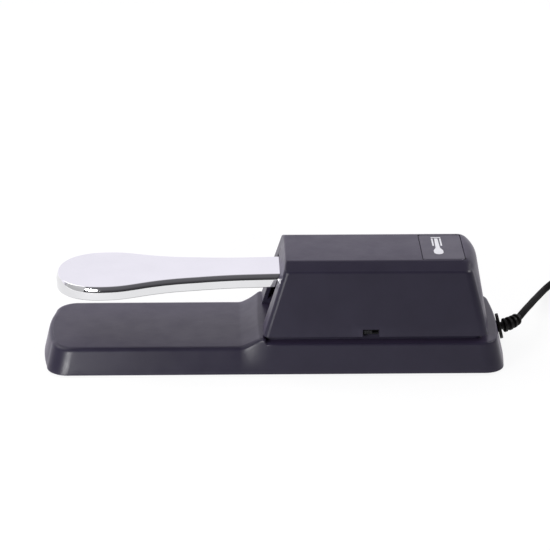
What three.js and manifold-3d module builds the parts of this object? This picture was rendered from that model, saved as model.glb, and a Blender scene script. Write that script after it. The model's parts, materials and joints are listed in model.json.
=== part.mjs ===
// Sustain pedal: a weighted plastic base, a plastic housing, and a chromed lever that tips down into it.
// Millimetres. X runs along the base from the lever's tip (-X) to the cord (+X), Y across it, +Z up.
// The origin is the middle of the base's footprint, on the surface that the rubber feet stand on.
import * as THREE from 'three';
import { mergeVertices } from 'three/addons/utils/BufferGeometryUtils.js';
import Module from 'manifold-3d';

const wasm = await Module();
wasm.setup();

// ---- driving dimensions ------------------------------------------------------------------------

const GAP = 0.3; // clearance kept between neighbouring solids

// Base shell
const BASE_HALF_LENGTH = 125;
const BASE_HALF_WIDTH = 37.5;
const BASE_RIM_Z = 0.8; // lower rim, above the feet's soles
const BASE_WALL = 2.6;
const FRONT_TOP_Z = 14.4;
const LEDGE_Z = 17.7; // ledge round the housing
const PLINTH = { inset: 4, ahead: 2.2 }; // the deck inside the housing's foot, and how much less in front
const DECK_Z = 20; // deck that carries the housing and the works
const RAMP_START_X = -17.9;
const RIDGE_X = -7.8;
const LEDGE_START_X = -5.2;
const SIDE_DRAFT_FRONT = 0.36; // inset per millimetre of height
const SIDE_DRAFT_REAR = 0.09;
const END_DRAFT_FRONT = 0.235;
const END_DRAFT_REAR = 0.245;
const FRONT_BOW = 2.5;
const REAR_BOW = 1.4;
const FRONT_CORNER = 12;
const REAR_CORNER = 11;

// Housing cover
const COVER_BOTTOM_Z = DECK_Z + GAP;
const COVER_TOP_Z = 59.3;
const COVER_WALL = 2.4;
const COVER_FOOT = { wall: 5.2, top: 23 }; // thicker foot that stands on the deck inside the ledge
const COVER_HALF_WIDTH = 32.6; // at the bottom edge
const COVER_SIDE_DRAFT = 0.129;
const COVER_FRONT_LEAN = 0.308;
const COVER_REAR_LEAN = 0.253;
const COVER_FRONT_X = -6.2; // at the bottom edge
const COVER_REAR_X = 114.3; // at the bottom corners
const ROOF_HALF_WIDTH = 19.4;
const ROOF_BEVEL_SLOPE = 0.386;
const SLOT_HALF_WIDTH = 15.2;
const SLOT_TOP_Z = 49.7;
const SLOT_END_X = 8; // inside the housing, behind its leaning front wall
const WINDOW = { x0: 46.9, x1: 55.6, top: 24.2 };
const BADGE = { x0: 79, x1: 102, halfWidth: 18, depth: 1, thickness: 0.55 };

// Lever
const PIVOT = { x: 82, z: 42.6 };
const LEVER_SLOPE = 0.021; // rise per millimetre towards the pivot, at rest
const LEVER_TOP = 8.2; // top face above the pivot axis
const LEVER_DEPTH = 7.7;
const LEVER_SKIN = 2;
const TIP_X = -199.4; // from the pivot
const PAD_CENTRE_X = -174;
const PAD_HALF_WIDTH = 26.2;
const NECK_START_X = -94;
const NECK_HALF_WIDTH = 13.6;
const TAPER = { half: 0.34, power: 2.6, fade: 0.6 }; // shares of the taper: half the flare gone, fade begun
const LEVER_END_X = 10;
const LEVER_END_CORNER = 3;
const LEVER_EDGE = [[0, 3.25], [0.45, 1.8], [0.9, 0.4], [1.25, 0]]; // leaning band: inset, depth below the top
const PAD_POWER = 2.2; // superellipse exponent of the round tip
const HUB_RADIUS = 6.3;
const AXLE_RADIUS = 3;
const AXLE_HALF_LENGTH = 19.8;
const BORE_RADIUS = 3.35;
const FULL_TRAVEL = THREE.MathUtils.degToRad(6.3);

// Works on the deck
const SPRING = { x: 24, radius: 6.2, wire: 1.6, turns: 6 };
const STOP_POST = { radius: 3.6, top: 37.4 };
const STOP_PAD_RADIUS = 4.4;
const STOP_RIB = { x0: 12, x1: 20, halfWidth: 10, z: 52.6 }; // under the housing's roof: the lever rests there
const SWITCH_X = 52;
const SLIDER_TRAVEL = 3;
const COVER_SCREWS = [[12, -24.5], [12, 24.5], [102, -24.5], [102, 24.5]];
const PLATE_SCREWS = [[-60, -24], [-60, 24], [56, -24], [56, 24]];
const FEET = [[-106, -24], [-106, 24], [106, -24], [106, 24]];
const FOOT_RADIUS = 7;
const BRACKET_SCREWS = [[74, 0], [90, 0]];
const BOARD_SCREWS = [[42, -15], [60, -15]];
const BOSS_RADIUS = { plate: 4, bracket: 4.5, board: 3, cover: 4 };
const SHANK_RADIUS = { plate: 1.35, bracket: 1.9, board: 1.2, cover: 1.4 };
const SHANK_ROOM = 0.35; // a hole's radius over its screw's
const LEAD_HOLE = { x: 94, y: -21, radius: 3 };
const BOARD = { x0: 38, x1: 66, y0: -20, y1: 9, z0: 22.3, z1: 23.9 };
const PLATE = { z0: 2, z1: 3.2, inset: 3.2 };
const BRACKET_BOSS_Z = 8; // lower ends of the posts that the bracket's screws bite into

// Cord
const CORD_RADIUS = 2;
const CORD_Z = 2.05; // centre height where it lies on the floor
const GLAND = { y: 4.3, z: 10.3, hole: 3.8, flange: 7.1, thickness: 1.6 };
const COIL = { x: 200, y: 69, inner: 15.5, outer: 30.6, z0: 0.9, z1: 17.4, route: 28.4 };
const PLUG_Z = 6.6;

// ---- materials ---------------------------------------------------------------------------------

const look = (color, roughness, metalness) => ({ color, roughness, metalness });
const LOOKS = {
  casing: look(0x37343f, 0.55, 0),
  black: look(0x141416, 0.5, 0),
  rubber: look(0x1a1a1c, 0.8, 0),
  chrome: look(0xe4e4ea, 0.08, 1),
  steel: look(0x9a9ca0, 0.35, 1),
  board: look(0x1f5a34, 0.5, 0),
  badge: look(0x2f2d35, 0.4, 0),
  cord: look(0x26262a, 0.6, 0),
};

// ---- solids ------------------------------------------------------------------------------------

// A closed geometry as a manifold solid, for joining and cutting.
function solid(geometry) {
  const bare = geometry.clone();
  bare.deleteAttribute('normal');
  bare.deleteAttribute('uv');
  const merged = mergeVertices(bare, 1e-4);
  return new wasm.Manifold(new wasm.Mesh({
    numProp: 3,
    vertProperties: new Float32Array(merged.attributes.position.array),
    triVerts: new Uint32Array(merged.index.array),
  }));
}

function geometryOf(shape) {
  const mesh = shape.getMesh();
  const geometry = new THREE.BufferGeometry();
  geometry.setAttribute('position', new THREE.BufferAttribute(mesh.vertProperties, 3));
  geometry.setIndex(new THREE.BufferAttribute(mesh.triVerts, 1));
  geometry.computeVertexNormals();
  return geometry;
}

const union = (shapes) => shapes.reduce((whole, shape) => whole.add(shape));
const cut = (body, tools) => tools.reduce((rest, tool) => rest.subtract(tool), body);

function box(x0, x1, y0, y1, z0, z1) {
  const geometry = new THREE.BoxGeometry(x1 - x0, y1 - y0, z1 - z0);
  return solid(geometry.translate((x0 + x1) / 2, (y0 + y1) / 2, (z0 + z1) / 2));
}

// A solid of revolution about a vertical axis, from [radius, z] pairs that start and end on the axis
// or close on themselves.
function turned(profile, x = 0, y = 0, sides = 16) {
  const points = profile.map(([radius, z]) => new THREE.Vector2(radius, z));
  const geometry = new THREE.LatheGeometry(points, sides).rotateX(Math.PI / 2);
  return solid(geometry.translate(x, y, 0));
}

const disc = (radius, z0, z1) => [[0, z0], [radius, z0], [radius, z1], [0, z1]];
const ring = (inner, outer, z0, z1) => [[inner, z0], [outer, z0], [outer, z1], [inner, z1], [inner, z0]];
const post = (radius, z0, z1, x, y, sides = 16) => turned(disc(radius, z0, z1), x, y, sides);

// A prism along Y through a list of [x, z] points.
function prismAcross(points, y0, y1) {
  const shape = new THREE.Shape(points.map(([x, z]) => new THREE.Vector2(x, z)));
  const geometry = new THREE.ExtrudeGeometry(shape, { depth: y1 - y0, bevelEnabled: false });
  return solid(geometry.rotateX(Math.PI / 2).translate(0, y1, 0));
}

// A prism along X through a list of [y, z] points.
function prismAlong(points, x0, x1) {
  const shape = new THREE.Shape(points.map(([y, z]) => new THREE.Vector2(y, z)));
  const geometry = new THREE.ExtrudeGeometry(shape, { depth: x1 - x0, bevelEnabled: false });
  return solid(geometry.rotateX(Math.PI / 2).rotateZ(Math.PI / 2).translate(x0, 0, 0));
}

// A closed skin through rings of equal point counts, each level and counter-clockwise seen from above.
function loft(rings) {
  const count = rings[0].length;
  const index = [];
  for (let level = 0; level + 1 < rings.length; level += 1) {
    for (let i = 0; i < count; i += 1) {
      const a = level * count + i;
      const b = level * count + ((i + 1) % count);
      index.push(a, b, b + count, a, b + count, a + count);
    }
  }
  const lid = (level) => {
    const outline = rings[level].map((p) => new THREE.Vector2(p.x, p.y));
    return THREE.ShapeUtils.triangulateShape(outline, []).map((face) => face.map((i) => i + level * count));
  };
  lid(0).forEach(([a, b, c]) => index.push(a, c, b));
  lid(rings.length - 1).forEach(([a, b, c]) => index.push(a, b, c));
  const geometry = new THREE.BufferGeometry();
  const positions = rings.flat().flatMap((p) => [p.x, p.y, p.z]);
  geometry.setAttribute('position', new THREE.Float32BufferAttribute(positions, 3));
  geometry.setIndex(index);
  return solid(geometry);
}

// A round bar of the given radius along a smooth curve through points.
function tube(points, radius, sides = 8, steps = 24) {
  const path = new THREE.CatmullRomCurve3(points.map((p) => new THREE.Vector3(...p)));
  const section = new THREE.Shape();
  for (let i = 0; i < sides; i += 1) {
    const angle = ((i + 0.5) / sides) * Math.PI * 2;
    const corner = [radius * Math.cos(angle), radius * Math.sin(angle)];
    if (i === 0) section.moveTo(...corner);
    else section.lineTo(...corner);
  }
  section.closePath();
  return solid(new THREE.ExtrudeGeometry(section, { steps, extrudePath: path, bevelEnabled: false }));
}

// A turned solid whose axis is laid along Y, centred on the origin of that axis.
const turnedAcross = (profile, sides = 16) => turned(profile, 0, 0, sides).rotate([90, 0, 0]);

// ---- assembly ----------------------------------------------------------------------------------

const pedal = new THREE.Group();

function piece(name, shape, finish, parent = pedal) {
  const mesh = new THREE.Mesh(geometryOf(shape), new THREE.MeshStandardMaterial(finish));
  mesh.name = name;
  parent.add(mesh);
  return mesh;
}

// ---- base shell --------------------------------------------------------------------------------

const smooth = (from, to, x) => THREE.MathUtils.smoothstep(x, from, to);

// A bowed rectangle with round corners, seen from above: the shape of the base and of the housing.
// half(x) gives the half width along the sides.
function bowedOutline({ front, rear, frontBow, rearBow, frontCorner, rearCorner, half, z, stations }) {
  const points = [];
  const add = (x, y) => points.push(new THREE.Vector3(x, y, z));
  const sideEnds = [front + frontCorner, rear - rearCorner];
  const sides = stations.filter((x) => x > sideEnds[0] + 1 && x < sideEnds[1] - 1);
  const corner = (cx, cy, radius, fromDegrees) => {
    for (let i = 0; i <= 6; i += 1) {
      const angle = THREE.MathUtils.degToRad(fromDegrees + i * 15);
      add(cx + radius * Math.cos(angle), cy + radius * Math.sin(angle));
    }
  };
  const end = (x, bow, reach, direction) => {
    for (let i = 1; i < 8; i += 1) {
      const share = (i / 8) * 2 - 1;
      add(x + bow * (1 - share * share), share * reach * direction);
    }
  };
  const frontReach = half(sideEnds[0]) - frontCorner;
  const rearReach = half(sideEnds[1]) - rearCorner;
  corner(sideEnds[0], -frontReach, frontCorner, 180);
  sides.forEach((x) => add(x, -half(x)));
  corner(sideEnds[1], -rearReach, rearCorner, 270);
  end(rear, rearBow, rearReach, 1);
  corner(sideEnds[1], rearReach, rearCorner, 0);
  sides.slice().reverse().forEach((x) => add(x, half(x)));
  corner(sideEnds[0], frontReach, frontCorner, 90);
  end(front, -frontBow, frontReach, -1);
  return points;
}

const BASE_STATIONS = [-90, -55, -24, -19, -16, -13, -10, -7, -4, -1, 2, 40, 80];

function baseOutline(z, inset = 0) {
  const rise = z - BASE_RIM_Z;
  const draft = (x) => THREE.MathUtils.lerp(SIDE_DRAFT_FRONT, SIDE_DRAFT_REAR, smooth(-19, 0, x));
  return bowedOutline({
    z,
    front: -BASE_HALF_LENGTH + FRONT_BOW + END_DRAFT_FRONT * rise + inset,
    rear: BASE_HALF_LENGTH - REAR_BOW - END_DRAFT_REAR * rise - inset,
    frontBow: FRONT_BOW,
    rearBow: REAR_BOW,
    frontCorner: FRONT_CORNER - inset,
    rearCorner: REAR_CORNER - inset,
    half: (x) => BASE_HALF_WIDTH - draft(x) * rise - inset,
    stations: BASE_STATIONS,
  });
}

// Height of the top face along the base: the flat tread, the ramp and the deck.
function baseTop(x) {
  const run = THREE.MathUtils.clamp(x, RAMP_START_X, RIDGE_X) - RAMP_START_X;
  return FRONT_TOP_Z + 0.35 * run + 0.0204 * run * run;
}

function baseEnvelope() {
  const block = loft([baseOutline(BASE_RIM_Z), baseOutline(DECK_Z)]);
  const ramp = [0, 0.2, 0.4, 0.6, 0.8, 1].map((t) => THREE.MathUtils.lerp(RAMP_START_X, RIDGE_X, t));
  const profile = [[-140, -5], [140, -5], [140, DECK_Z], ...ramp.reverse().map((x) => [x, baseTop(x)])];
  return block.intersect(prismAcross([...profile, [-140, FRONT_TOP_Z]], -60, 60));
}

const coverHalf = (z) => COVER_HALF_WIDTH - COVER_SIDE_DRAFT * (z - COVER_BOTTOM_Z);

// The housing's outline at a height, brought in all round by inset.
function coverOutline(z, inset = 0) {
  const rise = z - COVER_BOTTOM_Z;
  return bowedOutline({
    z,
    front: COVER_FRONT_X + COVER_FRONT_LEAN * rise + inset,
    rear: COVER_REAR_X - COVER_REAR_LEAN * rise - inset,
    frontBow: 0,
    rearBow: 1.5 + 0.065 * rise,
    frontCorner: Math.max(3 - inset, 0.5),
    rearCorner: Math.max(5 - inset, 1),
    half: () => coverHalf(z) - inset,
    stations: [],
  });
}

// What is cut away round the housing, to leave the ledge and the raised deck.
function ledgeCut() {
  const plinth = coverOutline(COVER_BOTTOM_Z, PLINTH.inset);
  const level = (z) => plinth.map((p) => new THREE.Vector3(p.x < 0 ? p.x - PLINTH.ahead : p.x, p.y, z));
  const raised = loft([level(LEDGE_Z - 1), level(DECK_Z + 5)]);
  return box(LEDGE_START_X, 140, -60, 60, LEDGE_Z, DECK_Z + 4).subtract(raised);
}

// The middle of the gland hole on the rear wall, and the wall's lean there.
const WALL_LEAN = Math.atan(END_DRAFT_REAR);
const glandX = BASE_HALF_LENGTH - END_DRAFT_REAR * (GLAND.z - BASE_RIM_Z);

// Puts a shape turned about the Z axis onto the gland hole, pointing out of the rear wall.
const atGland = (shape) => shape.rotate([0, 90, 0]).rotate([0, -THREE.MathUtils.radToDeg(WALL_LEAN), 0])
  .translate([glandX, GLAND.y, GLAND.z]);

// The holes that a set of screws passes through, from z0 to z1.
function shankHoles(places, kind, z0, z1) {
  return places.map(([x, y]) => post(SHANK_RADIUS[kind] + SHANK_ROOM, z0, z1, x, y, 12));
}

function baseShell() {
  const frontCeiling = FRONT_TOP_Z - BASE_WALL;
  const rearCeiling = LEDGE_Z - BASE_WALL;
  const room = loft([baseOutline(-1, BASE_WALL), baseOutline(DECK_Z, BASE_WALL)]);
  const ceiling = [[140, rearCeiling], [-11, rearCeiling], [-20, frontCeiling], [-140, frontCeiling]];
  const roof = [[-140, -5], [140, -5], ...ceiling];
  const shell = baseEnvelope().subtract(ledgeCut()).subtract(room.intersect(prismAcross(roof, -60, 60)));
  const plateBoss = ([x, y]) => {
    const top = (x < 0 ? frontCeiling : rearCeiling) + 1;
    return post(BOSS_RADIUS.plate, PLATE.z1 + GAP, top, x, y);
  };
  const bosses = [
    ...PLATE_SCREWS.map(plateBoss),
    ...BRACKET_SCREWS.map(([x, y]) => post(BOSS_RADIUS.bracket, BRACKET_BOSS_Z, rearCeiling + 1, x, y)),
    ...BOARD_SCREWS.map(([x, y]) => post(BOSS_RADIUS.board, DECK_Z - 1, BOARD.z0 - GAP, x, y)),
    post(STOP_POST.radius, DECK_Z - 1, STOP_POST.top, SPRING.x, 0),
  ];
  const holes = [
    ...shankHoles(PLATE_SCREWS, 'plate', 0, 10.5),
    ...shankHoles(BRACKET_SCREWS, 'bracket', BRACKET_BOSS_Z + 1.5, 30),
    ...shankHoles(BOARD_SCREWS, 'board', 10, 30),
    ...shankHoles(COVER_SCREWS, 'cover', 10, 30),
    post(LEAD_HOLE.radius, 10, 30, LEAD_HOLE.x, LEAD_HOLE.y),
    atGland(turned(disc(GLAND.hole, -9, 6), 0, 0, 20)),
  ];
  return cut(union([shell, ...bosses]), holes);
}

// ---- housing cover -----------------------------------------------------------------------------

function coverEnvelope(inset = 0, bottom = COVER_BOTTOM_Z) {
  const block = loft([coverOutline(bottom, inset), coverOutline(COVER_TOP_Z + 4, inset)]);
  const top = COVER_TOP_Z - inset;
  const eaves = top - ROOF_BEVEL_SLOPE * (60 - ROOF_HALF_WIDTH);
  const roof = [[-60, 0], [60, 0], [60, eaves], [ROOF_HALF_WIDTH, top], [-ROOF_HALF_WIDTH, top], [-60, eaves]];
  return block.intersect(prismAlong(roof, -40, 160));
}

function housingCover() {
  const outside = coverEnvelope();
  const shell = outside.subtract(coverEnvelope(COVER_WALL, COVER_BOTTOM_Z - 5));
  const low = outside.intersect(box(-20, 140, -60, 60, 0, COVER_FOOT.top));
  const foot = low.subtract(coverEnvelope(COVER_FOOT.wall, COVER_BOTTOM_Z - 5));
  const bosses = COVER_SCREWS.map(([x, y]) => post(BOSS_RADIUS.cover, COVER_BOTTOM_Z + GAP, 50, x, y));
  const ribHalf = STOP_RIB.halfWidth;
  const stopRib = box(STOP_RIB.x0, STOP_RIB.x1, -ribHalf, ribHalf, STOP_RIB.z, COVER_TOP_Z - 1);
  const body = union([shell, foot, stopRib, ...bosses]).intersect(outside);
  return cut(body, [
    box(-20, SLOT_END_X, -SLOT_HALF_WIDTH, SLOT_HALF_WIDTH, 0, SLOT_TOP_Z),
    box(WINDOW.x0, WINDOW.x1, -45, -27, 0, WINDOW.top),
    box(43.6, 59.4, -28.8, -20, 0, COVER_FOOT.top + 1), // room for the polarity switch
    box(BADGE.x0, BADGE.x1, -BADGE.halfWidth, BADGE.halfWidth, COVER_TOP_Z - BADGE.depth, COVER_TOP_Z + 5),
    ...shankHoles(COVER_SCREWS, 'cover', 0, 36),
  ]);
}

function buildCasing() {
  piece('base_shell', baseShell(), LOOKS.casing);
  piece('housing_cover', housingCover(), LOOKS.casing);
  const badgeTop = COVER_TOP_Z - 0.15;
  const badgeHalf = BADGE.halfWidth - GAP;
  const [badgeX0, badgeX1] = [BADGE.x0 + GAP, BADGE.x1 - GAP];
  const badge = box(badgeX0, badgeX1, -badgeHalf, badgeHalf, badgeTop - BADGE.thickness, badgeTop);
  piece('badge_plate', badge, LOOKS.badge);
  const plate = loft([baseOutline(PLATE.z0, PLATE.inset), baseOutline(PLATE.z1, PLATE.inset)]);
  piece('bottom_plate', cut(plate, shankHoles(PLATE_SCREWS, 'plate', 0, 5)), LOOKS.steel);
  const footTop = PLATE.z0 - GAP;
  const sole = [[0, 0], [FOOT_RADIUS - 0.6, 0], [FOOT_RADIUS, 0.5], [FOOT_RADIUS, footTop], [0, footTop]];
  FEET.forEach(([x, y], i) => piece(`rubber_foot_${i + 1}`, turned(sole, x, y, 20), LOOKS.rubber));
}

// A screw along Z: its head's far face at z, its shank pointing towards tip.
function screw([x, y], { z, headHeight, headRadius, shankRadius, tip }) {
  const up = Math.sign(tip - z);
  const seat = z + up * headHeight;
  const profile = [[0, z], [headRadius * 0.8, z], [headRadius, z + up * headHeight * 0.4],
    [headRadius, seat], [shankRadius, seat], [shankRadius, tip], [0, tip]];
  return turned(up > 0 ? profile : profile.reverse(), x, y, 10);
}

function buildScrews() {
  const underDeck = LEDGE_Z - BASE_WALL - GAP;
  const kinds = {
    cover: { places: COVER_SCREWS, z: underDeck - 2, headHeight: 2, headRadius: 3, tip: 34 },
    plate: { places: PLATE_SCREWS, z: 0.6, headHeight: 1.1, headRadius: 3.2, tip: 10 },
    bracket: { places: BRACKET_SCREWS, z: 25, headHeight: 2.1, headRadius: 3.4, tip: 10 },
    board: { places: BOARD_SCREWS, z: 25.9, headHeight: 1.7, headRadius: 2.4, tip: 14 },
  };
  Object.entries(kinds).forEach(([kind, { places, ...sizes }]) => {
    places.forEach((place, i) => {
      const shape = screw(place, { ...sizes, shankRadius: SHANK_RADIUS[kind] });
      piece(`${kind}_screw_${i + 1}`, shape, LOOKS.steel);
    });
  });
}

// ---- lever -------------------------------------------------------------------------------------

// Half width of the lever along its length, measured from the pivot.
function leverHalfWidth(x) {
  if (x < PAD_CENTRE_X) {
    const share = (PAD_CENTRE_X - x) / (PAD_CENTRE_X - TIP_X);
    return PAD_HALF_WIDTH * (1 - share ** PAD_POWER) ** (1 / PAD_POWER);
  }
  const share = Math.min((x - PAD_CENTRE_X) / (NECK_START_X - PAD_CENTRE_X), 1);
  const flare = (1 - smooth(TAPER.fade, 1, share)) / (1 + (share / TAPER.half) ** TAPER.power);
  return NECK_HALF_WIDTH + (PAD_HALF_WIDTH - NECK_HALF_WIDTH) * flare;
}

// The lever's outline seen from above, brought in by inset, at a height above the pivot axis.
function leverOutline(inset, z) {
  const side = [];
  for (let i = 0; i <= 9; i += 1) {
    const x = PAD_CENTRE_X - (PAD_CENTRE_X - TIP_X) * Math.cos((i / 9) * (Math.PI / 2));
    side.push([x, leverHalfWidth(x)]);
  }
  for (let i = 1; i <= 12; i += 1) {
    const x = THREE.MathUtils.lerp(PAD_CENTRE_X, NECK_START_X, i / 12);
    side.push([x, leverHalfWidth(x)]);
  }
  side.push([LEVER_END_X - LEVER_END_CORNER, NECK_HALF_WIDTH]);
  side.push([LEVER_END_X, NECK_HALF_WIDTH - LEVER_END_CORNER]);
  const near = side.map(([x, y]) => [x, -y]);
  const far = side.slice(1).reverse();
  const outline = [...near, ...far];
  return outline.map(([x, y], i) => {
    const before = outline[(i + outline.length - 1) % outline.length];
    const after = outline[(i + 1) % outline.length];
    const along = new THREE.Vector2(after[0] - before[0], after[1] - before[1]).normalize();
    return new THREE.Vector3(x - along.y * inset, y + along.x * inset, z);
  });
}

function leverBody() {
  const foot = LEVER_TOP - LEVER_DEPTH;
  const edge = LEVER_EDGE.map(([inset, depth]) => leverOutline(inset, LEVER_TOP - depth));
  const outside = loft([leverOutline(0, foot), ...edge]);
  const inside = loft([
    leverOutline(LEVER_SKIN, foot - 1),
    leverOutline(LEVER_SKIN, LEVER_TOP - LEVER_SKIN),
  ]);
  const skirt = NECK_HALF_WIDTH - LEVER_SKIN;
  const ears = [[-NECK_HALF_WIDTH, -skirt], [skirt, NECK_HALF_WIDTH]].map(([y0, y1]) => {
    const round = turnedAcross(disc(HUB_RADIUS, -y1, -y0), 20);
    return round.add(box(-HUB_RADIUS, HUB_RADIUS, y0, y1, 0, LEVER_TOP - LEVER_SKIN));
  });
  const bore = turnedAcross(disc(BORE_RADIUS, -30, 30), 20);
  return union([outside.subtract(inside), ...ears]).subtract(bore);
}

function buildLever() {
  const lever = new THREE.Group();
  lever.position.set(PIVOT.x, 0, PIVOT.z);
  lever.rotation.y = -LEVER_SLOPE;
  pedal.add(lever);
  piece('pedal_lever', leverBody(), LOOKS.chrome, lever);
  const halfLength = NECK_HALF_WIDTH - LEVER_SKIN - GAP;
  piece('pivot_bush', turnedAcross(ring(BORE_RADIUS, 5.3, -halfLength, halfLength), 20), LOOKS.black, lever);
}

// ---- pivot bracket, axle and clips -------------------------------------------------------------

const EAR = { y0: 14.5, y1: 16.5, headRadius: 7 };
const BRACKET = { halfLength: 14, earHalfLength: 12, thickness: 2.2 };

function pivotBracket() {
  const floor = DECK_Z + GAP;
  const [front, rear] = [PIVOT.x - BRACKET.halfLength, PIVOT.x + BRACKET.halfLength];
  const base = box(front, rear, -EAR.y1, EAR.y1, floor, floor + BRACKET.thickness);
  const head = [];
  for (let degrees = -20; degrees <= 200; degrees += 20) {
    const angle = THREE.MathUtils.degToRad(degrees);
    head.push([PIVOT.x + EAR.headRadius * Math.cos(angle), PIVOT.z + EAR.headRadius * Math.sin(angle)]);
  }
  const side = [[PIVOT.x - BRACKET.earHalfLength, floor], [PIVOT.x + BRACKET.earHalfLength, floor], ...head];
  const ears = [prismAcross(side, -EAR.y1, -EAR.y0), prismAcross(side, EAR.y0, EAR.y1)];
  const axleHole = turnedAcross(disc(BORE_RADIUS, -30, 30), 20).translate([PIVOT.x, 0, PIVOT.z]);
  return cut(union([base, ...ears]), [axleHole, ...shankHoles(BRACKET_SCREWS, 'bracket', 0, 30)]);
}

function buildPivot() {
  piece('pivot_bracket', pivotBracket(), LOOKS.steel);
  const end = AXLE_HALF_LENGTH;
  const groove = { y0: EAR.y1 + 0.3, y1: EAR.y1 + 1.3, radius: 2.4 };
  const half = [[groove.radius, groove.y0], [groove.radius, groove.y1], [AXLE_RADIUS, groove.y1],
    [AXLE_RADIUS, end - 0.5], [AXLE_RADIUS - 0.5, end], [0, end]];
  const mirrored = half.map(([radius, y]) => [radius, -y]).reverse();
  const profile = [...mirrored, [AXLE_RADIUS, -groove.y0], [AXLE_RADIUS, groove.y0], ...half];
  const toPivot = (shape) => shape.translate([PIVOT.x, 0, PIVOT.z]);
  piece('pivot_axle', toPivot(turnedAcross(profile, 16)), LOOKS.steel);
  [-1, 1].forEach((side, i) => {
    const washer = ring(2.7, 5.4, groove.y0 + 0.1, groove.y1 - 0.1);
    const clip = turned(washer, 0, 0, 14).rotate([side * -90, 0, 0]);
    piece(`axle_clip_${i + 1}`, toPivot(clip), LOOKS.steel);
  });
}

// ---- return spring, stops and switches ---------------------------------------------------------

// Height of the underside of the lever's top plate at rest.
const leverUnderside = (x) => PIVOT.z + (LEVER_TOP - LEVER_SKIN) + LEVER_SLOPE * (x - PIVOT.x);

function buildSpring() {
  piece('spring_washer', turned(ring(4.2, 8, DECK_Z + GAP, DECK_Z + 1.4), SPRING.x, 0), LOOKS.steel);
  const z0 = DECK_Z + 1.4 + GAP + SPRING.wire / 2;
  const z1 = leverUnderside(SPRING.x - SPRING.radius) - GAP - SPRING.wire / 2 - 0.2;
  const stepsPerTurn = 10;
  const count = SPRING.turns * stepsPerTurn;
  const points = [];
  for (let i = 0; i <= count; i += 1) {
    const angle = (i / stepsPerTurn) * Math.PI * 2;
    const x = SPRING.x + SPRING.radius * Math.cos(angle);
    points.push([x, SPRING.radius * Math.sin(angle), THREE.MathUtils.lerp(z0, z1, i / count)]);
  }
  piece('return_spring', tube(points, SPRING.wire / 2, 5, count), LOOKS.steel);
}

function buildStops() {
  const drop = (PIVOT.x - SPRING.x) * Math.sin(FULL_TRAVEL);
  const radius = STOP_PAD_RADIUS;
  const lowTop = leverUnderside(SPRING.x) - drop - radius * (FULL_TRAVEL + LEVER_SLOPE) - 0.35;
  const lowFoot = STOP_POST.top + GAP;
  const lowPad = [[0, lowFoot], [radius, lowFoot], [radius, lowTop - 0.6], [radius - 0.6, lowTop], [0, lowTop]];
  piece('lower_stop_pad', turned(lowPad, SPRING.x, 0), LOOKS.rubber);
  const [x0, x1] = [STOP_RIB.x0 - 1, STOP_RIB.x1 + 1];
  const halfWidth = STOP_RIB.halfWidth - 1;
  const highFoot = leverUnderside(x1) + LEVER_SKIN + GAP;
  piece('upper_stop_pad', box(x0, x1, -halfWidth, halfWidth, highFoot, STOP_RIB.z - GAP), LOOKS.rubber);
}

function buildSwitches() {
  const board = box(BOARD.x0, BOARD.x1, BOARD.y0, BOARD.y1, BOARD.z0, BOARD.z1);
  piece('circuit_board', cut(board, shankHoles(BOARD_SCREWS, 'board', 20, 26)), LOOKS.board);
  const bodyFloor = BOARD.z1 + GAP;
  const body = box(SWITCH_X - 6, SWITCH_X + 6, -4, 4, bodyFloor, 38);
  piece('pedal_switch_body', body.subtract(post(2.4, 29, 40, SWITCH_X, 0, 20)), LOOKS.black);
  const top = leverUnderside(SWITCH_X) - 0.35;
  const plunger = [[0, 33], [2, 33], [2, top - 0.6], [1.2, top], [0, top]];
  piece('switch_plunger', turned(plunger, SWITCH_X, 0, 20), LOOKS.rubber);

  const slot = { x0: 47.1, x1: 55.3, z0: 21.2, z1: 24 };
  const frame = box(44, 59, -28.4, -23.6, DECK_Z + GAP, 26);
  piece('polarity_switch_body', frame.subtract(box(slot.x0, slot.x1, -30, -27, slot.z0, slot.z1)), LOOKS.black);
  const left = slot.x0 + 0.5;
  const knobWidth = slot.x1 - slot.x0 - 1 - SLIDER_TRAVEL;
  const knob = box(left, left + knobWidth, -31.6, -27.3, slot.z0 + GAP, slot.z1 - GAP);
  const serration = [1, 2, 3].map((i) => box(left + i - 0.2, left + i + 0.2, -32, -31.3, 20, 25));
  piece('polarity_slider', cut(knob, serration), LOOKS.black);
}

// ---- wires inside ------------------------------------------------------------------------------

function buildWires() {
  const up = [LEAD_HOLE.x, LEAD_HOLE.y];
  const inside = glandX - 8;
  const lead = [
    [inside, GLAND.y, 8.3], [inside - 6, 2, 8], [101, -12, 8],
    [95.5, -19.5, 10], [...up, 15], [...up, 21],
  ];
  piece('inner_lead', tube(lead, 1.8, 8, 12), LOOKS.cord);
  const wires = [
    ['signal_wire', [
      [93, -21.5, 21.6], [90, -21.8, 24], [80, -21.6, 24.4],
      [70, -20.4, 25], [65.3, -14, 24.9], [64, -9, 24.8],
    ]],
    ['ground_wire', [
      [95, -20.6, 21.6], [91, -18.6, 25.6], [80, -18.2, 26.8],
      [70.5, -16.8, 26.4], [66.8, -9, 25.4], [64, -4, 24.8],
    ]],
    ['polarity_wire', [[51, -23, 24], [50, -21.6, 25], [50, -18, 25.2], [50, -10, 24.8], [50, -6, 24.8]]],
  ];
  wires.forEach(([name, points]) => piece(name, tube(points, 0.6, 5, 9), LOOKS.cord));
}

// ---- cord --------------------------------------------------------------------------------------

const RELIEF_TIP = [135.4, 12.4, 11.9];

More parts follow.
